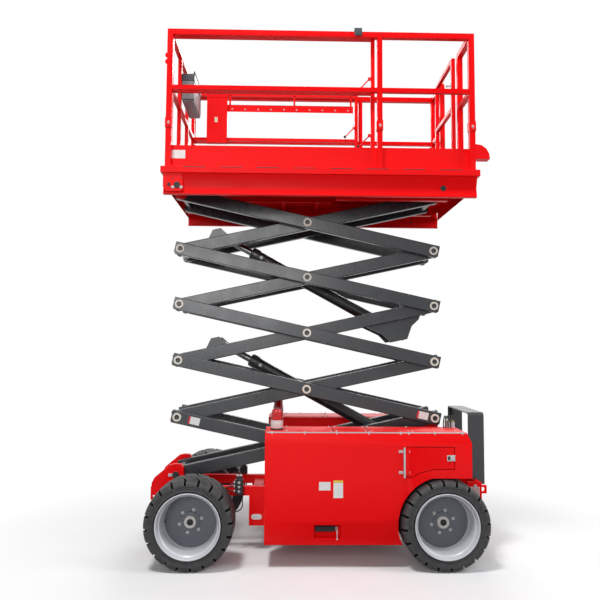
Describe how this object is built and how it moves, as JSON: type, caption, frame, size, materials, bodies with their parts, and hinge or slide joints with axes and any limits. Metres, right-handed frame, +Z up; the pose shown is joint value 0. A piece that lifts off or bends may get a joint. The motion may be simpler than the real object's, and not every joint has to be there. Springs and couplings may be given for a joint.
{
  "type": "rough-terrain scissor lift",
  "caption": "Self-propelled work platform raised on a stack of crossed arms by hydraulic cylinders, with a roll-out deck, guard rails, side covers and solid tyres on steel wheels.",
  "frame": {"origin": "on the ground, under the middle of the machine", "axes": "+X to the rear (entry gate and steps), +Y to the right-hand side, +Z up"},
  "size_m": [3.02, 1.762, 4.589],
  "materials": {
    "red_paint": "gloss red enamel",
    "grey_paint": "satin charcoal enamel",
    "black_paint": "semi-gloss black enamel",
    "rim_paint": "silver-grey enamel",
    "tyre": "matt rubber",
    "chrome_rod": "hard chrome",
    "deck_plate": "worn tread plate",
    "cast_mass": "rough cast",
    "beacon_lens": "clear red plastic",
    "beacon_base": "white plastic",
    "box_plastic": "moulded dark grey"
  },
  "bodies": {
    "chassis": {"chassis_frame": "red_paint", "front_axle": "black_paint", "rear_axle": "black_paint", "left_cover": "red_paint", "right_cover": "red_paint", "rear_bumper": "red_paint", "ladder": "grey_paint", "engine_block": "cast_mass", "hydraulic_tank": "grey_paint", "beacon_bases": "beacon_base", "beacon_lenses": "beacon_lens"},
    "inner_1": {"inner_arms_1": "grey_paint"},
    "outer_1": {"outer_arms_1": "grey_paint"},
    "outer_2": {"outer_arms_2": "grey_paint"},
    "inner_2": {"inner_arms_2": "grey_paint"},
    "outer_3": {"outer_arms_3": "grey_paint"},
    "inner_3": {"inner_arms_3": "grey_paint"},
    "outer_4": {"outer_arms_4": "grey_paint"},
    "inner_4": {"inner_arms_4": "grey_paint"},
    "outer_5": {"outer_arms_5": "grey_paint"},
    "inner_5": {"inner_arms_5": "grey_paint"},
    "platform": {"deck_plate": "deck_plate", "deck_mat": "deck_plate", "deck_skirts": "red_paint", "deck_ends": "red_paint", "deck_channels": "red_paint", "toe_boards": "red_paint", "guard_rails": "red_paint", "corner_hood": "red_paint"},
    "lower_barrel": {"lower_cylinder_barrel": "black_paint"},
    "lower_rod": {"lower_cylinder_rod": "chrome_rod"},
    "upper_barrel": {"upper_cylinder_barrel": "black_paint"},
    "upper_rod": {"upper_cylinder_rod": "chrome_rod"},
    "roll_out": {"roll_out_deck": "deck_plate", "roll_out_mat": "deck_plate", "extension_rails": "red_paint", "control_box": "box_plastic", "document_box": "red_paint"},
    "gate": {"entry_gate": "red_paint"},
    "left_door": {"left_hatch": "red_paint"},
    "left_knuckle": {"front_left_knuckle": "black_paint"},
    "right_door": {"right_hatch": "red_paint"},
    "right_knuckle": {"front_right_knuckle": "black_paint"},
    "track_rod": {"tie_rod": "black_paint"},
    "front_left_wheel": {"front_left_rim": "rim_paint", "front_left_tyre": "tyre"},
    "front_right_wheel": {"front_right_rim": "rim_paint", "front_right_tyre": "tyre"},
    "rear_left_wheel": {"rear_left_rim": "rim_paint", "rear_left_tyre": "tyre"},
    "rear_right_wheel": {"rear_right_rim": "rim_paint", "rear_right_tyre": "tyre"}
  },
  "joints": [
    {"name": "lift", "type": "hinge", "parent": "chassis", "child": "inner_1", "pos_m": [-1.253, 0, 0.67], "axis": [0, -1, 0], "range_deg": [-8.15, 39.05]},
    {"name": "centre_pin_1", "type": "hinge", "parent": "inner_1", "child": "outer_1", "pos_m": [-0.08077, 0, 0.92666], "axis": [0, -1, 0], "range_deg": [-78.14, 16.31]},
    {"name": "end_pin_2", "type": "hinge", "parent": "inner_1", "child": "outer_2", "pos_m": [1.09146, 0, 1.18332], "axis": [0, -1, 0], "range_deg": [-78.14, 16.31]},
    {"name": "centre_pin_2", "type": "hinge", "parent": "outer_2", "child": "inner_2", "pos_m": [-0.08077, 0, 1.43998], "axis": [0, -1, 0], "range_deg": [-16.31, 78.14]},
    {"name": "end_pin_3", "type": "hinge", "parent": "inner_2", "child": "outer_3", "pos_m": [1.09146, 0, 1.69664], "axis": [0, -1, 0], "range_deg": [-78.14, 16.31]},
    {"name": "centre_pin_3", "type": "hinge", "parent": "outer_3", "child": "inner_3", "pos_m": [-0.08077, 0, 1.9533], "axis": [0, -1, 0], "range_deg": [-16.31, 78.14]},
    {"name": "end_pin_4", "type": "hinge", "parent": "inner_3", "child": "outer_4", "pos_m": [1.09146, 0, 2.20996], "axis": [0, -1, 0], "range_deg": [-78.14, 16.31]},
    {"name": "centre_pin_4", "type": "hinge", "parent": "outer_4", "child": "inner_4", "pos_m": [-0.08077, 0, 2.46662], "axis": [0, -1, 0], "range_deg": [-16.31, 78.14]},
    {"name": "end_pin_5", "type": "hinge", "parent": "inner_4", "child": "outer_5", "pos_m": [1.09146, 0, 2.72328], "axis": [0, -1, 0], "range_deg": [-78.14, 16.31]},
    {"name": "centre_pin_5", "type": "hinge", "parent": "outer_5", "child": "inner_5", "pos_m": [-0.08077, 0, 2.97994], "axis": [0, -1, 0], "range_deg": [-16.31, 78.14]},
    {"name": "platform_pin", "type": "hinge", "parent": "outer_5", "child": "platform", "pos_m": [-1.253, 0, 3.2366], "axis": [0, -1, 0], "range_deg": [-8.15, 39.07]},
    {"name": "lower_cylinder_foot", "type": "hinge", "parent": "inner_1", "child": "lower_barrel", "pos_m": [0.83715, 0, 0.91881], "axis": [0, -1, 0], "range_deg": [-75.81, 15.82]},
    {"name": "lower_cylinder_stroke", "type": "slide", "parent": "lower_barrel", "child": "lower_rod", "axis": [-0.8793, 0, 0.4762], "range_m": [-0.1855, 0.8851]},
    {"name": "upper_cylinder_foot", "type": "hinge", "parent": "inner_3", "child": "upper_barrel", "pos_m": [0.83715, 0, 1.94544], "axis": [0, -1, 0], "range_deg": [-75.81, 15.82]},
    {"name": "upper_cylinder_stroke", "type": "slide", "parent": "upper_barrel", "child": "upper_rod", "axis": [-0.8793, 0, 0.4762], "range_m": [-0.1855, 0.8851]},
    {"name": "deck_extension", "type": "slide", "parent": "platform", "child": "roll_out", "axis": [-1, 0, 0], "range_m": [0, 1.2]},
    {"name": "gate_hinge", "type": "hinge", "parent": "platform", "child": "gate", "pos_m": [1.304, 0.32, 4.289], "axis": [0, 0, 1], "range_deg": [-95, 0]},
    {"name": "left_hatch_hinge", "type": "hinge", "parent": "chassis", "child": "left_door", "pos_m": [0.716, -0.82, 0.88], "axis": [0, 0, -1], "range_deg": [0, 110]},
    {"name": "right_hatch_hinge", "type": "hinge", "parent": "chassis", "child": "right_door", "pos_m": [0.716, 0.82, 0.88], "axis": [0, 0, 1], "range_deg": [0, 110]},
    {"name": "steering", "type": "hinge", "parent": "chassis", "child": "left_knuckle", "pos_m": [-1.056, -0.56, 0.3675], "axis": [0, 0, 1], "range_deg": [-32, 32]},
    {"name": "right_steering", "type": "hinge", "parent": "chassis", "child": "right_knuckle", "pos_m": [-1.056, 0.56, 0.3675], "axis": [0, 0, 1], "range_deg": [-32.1, 32.1]},
    {"name": "track_rod_travel", "type": "slide", "parent": "chassis", "child": "track_rod", "axis": [0, 1, 0], "range_m": [-0.0646, 0.0646]},
    {"name": "front_left_wheel_spin", "type": "hinge", "parent": "left_knuckle", "child": "front_left_wheel", "pos_m": [-1.056, -0.695, 0.3675], "axis": [0, 1, 0], "continuous": true},
    {"name": "front_right_wheel_spin", "type": "hinge", "parent": "right_knuckle", "child": "front_right_wheel", "pos_m": [-1.056, 0.695, 0.3675], "axis": [0, 1, 0], "continuous": true},
    {"name": "rear_left_wheel_spin", "type": "hinge", "parent": "chassis", "child": "rear_left_wheel", "pos_m": [1.056, -0.695, 0.3675], "axis": [0, 1, 0], "continuous": true},
    {"name": "rear_right_wheel_spin", "type": "hinge", "parent": "chassis", "child": "rear_right_wheel", "pos_m": [1.056, 0.695, 0.3675], "axis": [0, 1, 0], "continuous": true}
  ],
  "couplings": [
    {"joint": "centre_pin_1", "follows": "lift", "ratio": -2},
    {"joint": "end_pin_2", "follows": "lift", "ratio": -2},
    {"joint": "centre_pin_2", "follows": "lift", "ratio": 2},
    {"joint": "end_pin_3", "follows": "lift", "ratio": -2},
    {"joint": "centre_pin_3", "follows": "lift", "ratio": 2},
    {"joint": "end_pin_4", "follows": "lift", "ratio": -2},
    {"joint": "centre_pin_4", "follows": "lift", "ratio": 2},
    {"joint": "end_pin_5", "follows": "lift", "ratio": -2},
    {"joint": "centre_pin_5", "follows": "lift", "ratio": 2},
    {"joint": "platform_pin", "follows": "lift", "ratio": 1},
    {"joint": "lower_cylinder_foot", "follows": "lift", "ratio": -1.9404},
    {"joint": "lower_cylinder_stroke", "follows": "lift", "m_per_rad": 1.2972},
    {"joint": "upper_cylinder_foot", "follows": "lift", "ratio": -1.9404},
    {"joint": "upper_cylinder_stroke", "follows": "lift", "m_per_rad": 1.2972},
    {"joint": "right_steering", "follows": "steering", "ratio": 1},
    {"joint": "track_rod_travel", "follows": "steering", "m_per_rad": 0.11386}
  ]
}
